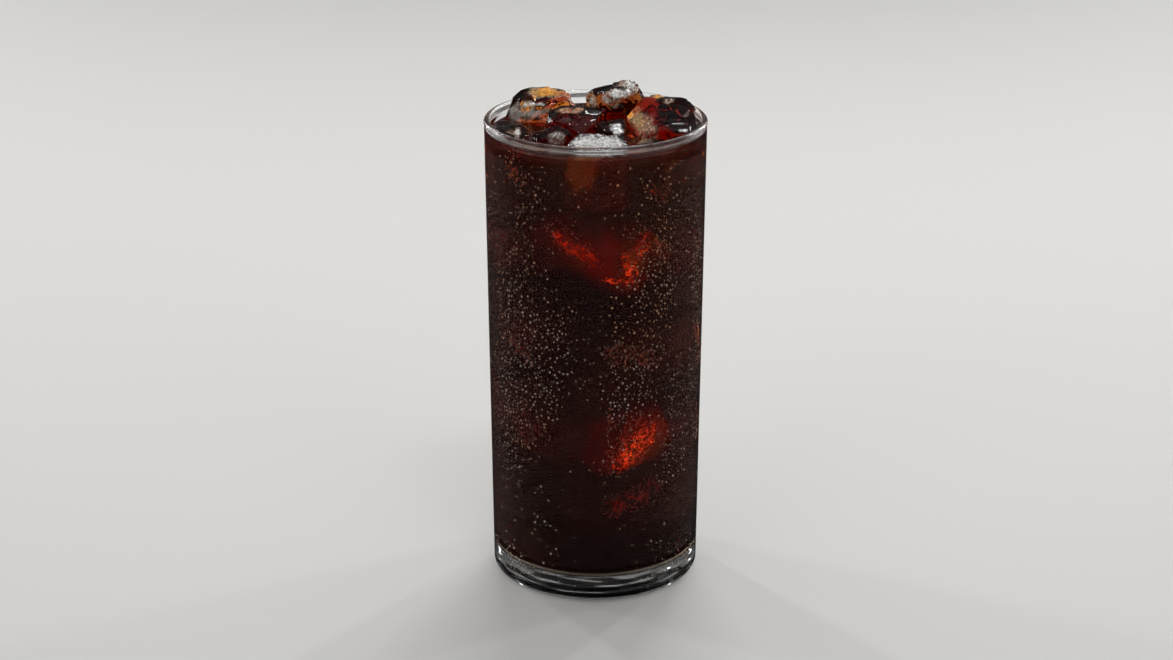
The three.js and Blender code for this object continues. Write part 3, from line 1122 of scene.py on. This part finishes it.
def droplet_material():
    made = see_through("condensation", WATER_IOR, DROP_ROUGHNESS, 1)
    material, nodes, links, shader, _ = made
    # Its scattered pale and warm colour is a painted highlight for the glints
    shader.inputs["Transmission Weight"].default_value = DROP_CLEAR
    colours_between(nodes, links, DROP_COLOUR_PATCH, PALE_DROP, WARM_DROP,
                    WARM_DROP_FROM, WARM_DROP_TO, shader.inputs["Base Color"])
    return material


def floor_material():
    material, nodes, links, shader, _ = material_tree("pale_floor")
    shader.inputs["Base Color"].default_value = (*FLOOR_COLOUR, 1)
    noise_between(nodes, links, FLOOR_PATCH, *FLOOR_ROUGHNESS, shader.inputs["Roughness"])
    return material


def dress(piece, material, slot, *nodes):
    """Gives a piece its material and its place on the body, and hides the solids that it stands
    for; the slot is not used.
    """
    if material:
        piece.data.materials.clear()
        piece.data.materials.append(material)
    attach(piece, "root")
    if nodes:
        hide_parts(*nodes)


def make_glass():
    bm = bmesh.new()
    lathe(bm, glass_outline(), AROUND)
    for vertex in bm.verts:
        away = vertex.co.xy.length
        if vertex.co.z < PUNT_TOP and away < PUNT_RADIUS:
            fade = min(1.0, (PUNT_RADIUS - away) / PUNT_BLEND)
            vertex.co.z += fade * PUNT_DENTS * noise.noise(vertex.co / PUNT_DENT_LENGTH)
    bm.normal_update()
    neck = HEIGHT - BEAD_RADIUS - BEAD_NECK
    zones = [name for name, _, _ in GLASS_ZONES]
    for face in bm.faces:
        middle = face.calc_center_median()
        inward = face.normal.xy.dot(middle.xy) < 0 or face.normal.z > UPWARD
        if middle.z > neck:
            face.material_index = zones.index("glass_lip")
        elif inward and middle.z > NEARLY_FLOOR:
            face.material_index = zones.index("glass_wetted_inside")
        elif middle.z > FLOOR:
            face.material_index = zones.index("glass_wall")
    piece = object_from("tumbler", bm)
    for name, gloss, rough in GLASS_ZONES:
        piece.data.materials.append(see_through(name, GLASS_IOR, rough, gloss)[0])
    dress(piece, None, "clear_glass", "glass")


def make_ice():
    """The pieces that break the surface. Returns them with the hollows they leave in the drink."""
    pieces = []
    hollows = []
    for node, looks in ICE.items():
        closed = merged_node(node)
        piece = remeshed(node + "_wet", closed, ICE_VOXEL)
        shape_ice(piece, looks["spots"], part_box(node)[1].z)
        stain_and_glow_ice(piece, looks["tint"], looks["stains_and_glows"])
        for face in piece.data.polygons:
            face.use_smooth = True
        material = ice_material(node + "_clear", looks["absorb"])
        dress(piece, material, "ice", node)
        hollow = remeshed(node + "_hollow", closed, HOLLOW_VOXEL)
        hollows.append(inset(hollow.data, HOLLOW_INSET))
        bpy.data.objects.remove(hollow)
        pieces.append(piece)
    return pieces, hollows


def halo(point):
    """How much painted glow the splinters spread onto sunk ice at a point."""
    light = 0.0
    for first, last, low, high, _, half_width, _, bright, _ in GLOWS:
        if bright < HALO_FROM:
            continue
        radius = point.xy.length
        middle = (first + last) / 2
        start = Vector((math.radians(first - middle) * radius, low * MM))
        end = Vector((math.radians(last - middle) * radius, high * MM))
        here = Vector((math.radians(turned(direction_of(point), middle)) * radius, point.z))
        run = end - start
        along = clamped((here - start).dot(run) / run.length_squared)
        reach = (here - start.lerp(end, along)).length / (half_width * MM + HALO_REACH)
        light += bright * HALO_LEVEL * math.exp(-reach ** 2 * HALO_FALL)
    return light


def make_sunk_ice():
    """The sunk pieces as one mesh. Returns their hollows."""
    meshes = [sunk_mesh(*piece, 0) for piece in SUNK]
    ice = joined("sunk_ice", meshes)
    lit = ice.data.attributes.new("lit", "FLOAT", "POINT")
    for vertex, light in zip(ice.data.vertices, lit.data):
        light.value = halo(vertex.co)
    made = see_through("ice_sunk", ICE_IOR, SUNK_ROUGHNESS, SUNK_GLOSS)
    material, nodes, links, shader, output = made
    # Sunk ice glows red round the splinters: a painted glow
    shader.inputs["Emission Color"].default_value = (*RED_LIGHT, 1)
    links.new(attribute(nodes, "lit").outputs["Fac"], shader.inputs["Emission Strength"])
    absorb(nodes, links, output, SUNK_ABSORB)
    dress(ice, material, "ice")
    return [sunk_mesh(*piece, SUNK_HOLLOW_INSET) for piece in SUNK]


def make_coffee(pieces, hollows):
    bm = bmesh.new()
    lathe(bm, coffee_outline(), AROUND)
    climb_round_ice(bm, pieces)
    coffee = object_from("cold_brew_coffee", bm)
    cutter = joined("hollows", hollows)
    cut = coffee.modifiers.new("cut", "BOOLEAN")
    cut.operation = "DIFFERENCE"
    cut.solver = "MANIFOLD"
    cut.object = cutter
    applied(coffee)
    bpy.data.objects.remove(cutter)
    tint_haze_and_glow(coffee.data)
    dress(coffee, coffee_material(), "cold_brew", "coffee")
    coffee.data.materials.append(dark_bottom_material())
    for face in coffee.data.polygons:
        if face.center.z < FLOOR + DARK_BOTTOM_DEPTH:
            face.material_index = 1


def make_condensation():
    taken = Taken()
    material = droplet_material()
    for name, (count, least, most, sides, rings) in reversed(DROPS.items()):
        dress(condensation(name, count, least, most, sides, rings, taken), material, "clear_glass")


def make_floor():
    bm = bmesh.new()
    bmesh.ops.create_grid(bm, x_segments=8, y_segments=8, size=FLOOR_HALF)
    floor = object_from("floor", bm)
    floor.data.materials.append(floor_material())
    floor.visible_glossy = False


def add_lamp(name, place, aim, size, power, mirrored):
    lamp = bpy.data.lights.new(name, "AREA")
    lamp.shape = "RECTANGLE"
    lamp.size, lamp.size_y = size
    lamp.energy = power
    holder = bpy.data.objects.new(name, lamp)
    holder.location = place
    holder.rotation_euler = (Vector(aim) - Vector(place)).to_track_quat("-Z", "Y").to_euler()
    holder.visible_camera = False
    holder.visible_glossy = mirrored
    bpy.context.scene.collection.objects.link(holder)


def make_light():
    for lamp in LAMPS:
        add_lamp(*lamp)


def make_world():
    """Dim plain surroundings, darker below the level of the floor."""
    world = bpy.data.worlds.new("studio")
    world.use_nodes = True
    bpy.context.scene.world = world
    nodes = world.node_tree.nodes
    links = world.node_tree.links
    place = nodes.new("ShaderNodeNewGeometry")
    split = nodes.new("ShaderNodeSeparateXYZ")
    spread = nodes.new("ShaderNodeMapRange")
    spread.inputs["From Min"].default_value = -HORIZON
    spread.inputs["From Max"].default_value = HORIZON
    spread.inputs["To Min"].default_value = SURROUNDINGS_BELOW
    spread.inputs["To Max"].default_value = SURROUNDINGS_ABOVE
    links.new(place.outputs["Position"], split.inputs["Vector"])
    links.new(split.outputs["Z"], spread.inputs["Value"])
    links.new(spread.outputs["Result"], nodes["Background"].inputs["Strength"])
    nodes["Background"].inputs["Color"].default_value = (1, 1, 1, 1)


def make_camera():
    camera = bpy.data.cameras.new("camera")
    camera.lens = LENS
    camera.sensor_width = SENSOR
    camera.sensor_fit = "HORIZONTAL"
    holder = bpy.data.objects.new("camera", camera)
    holder.location = CAMERA_AT
    holder.rotation_euler = (math.radians(90 - CAMERA_DOWN), 0, 0)
    bpy.context.scene.collection.objects.link(holder)
    bpy.context.scene.camera = holder


def set_up_rendering():
    """Enough bounces for glass in glass, and plain colours."""
    scene = bpy.context.scene
    scene.view_settings.view_transform = "Standard"
    scene.cycles.max_bounces = GLASS_BOUNCES
    scene.cycles.transmission_bounces = GLASS_BOUNCES
    scene.cycles.glossy_bounces = MIRROR_BOUNCES
    scene.cycles.transparent_max_bounces = SHADOW_STEPS
    scene.cycles.caustics_reflective = False
    scene.cycles.caustics_refractive = False
    scene.cycles.sample_clamp_indirect = MOST_INDIRECT


make_camera()
set_up_rendering()
make_glass()
ice_pieces, ice_hollows = make_ice()
sunk_hollows = make_sunk_ice()
make_coffee(ice_pieces, ice_hollows + sunk_hollows)
dress(crazed_ice(), crazed_material(), "ice")
make_condensation()
make_floor()
make_light()
make_world()
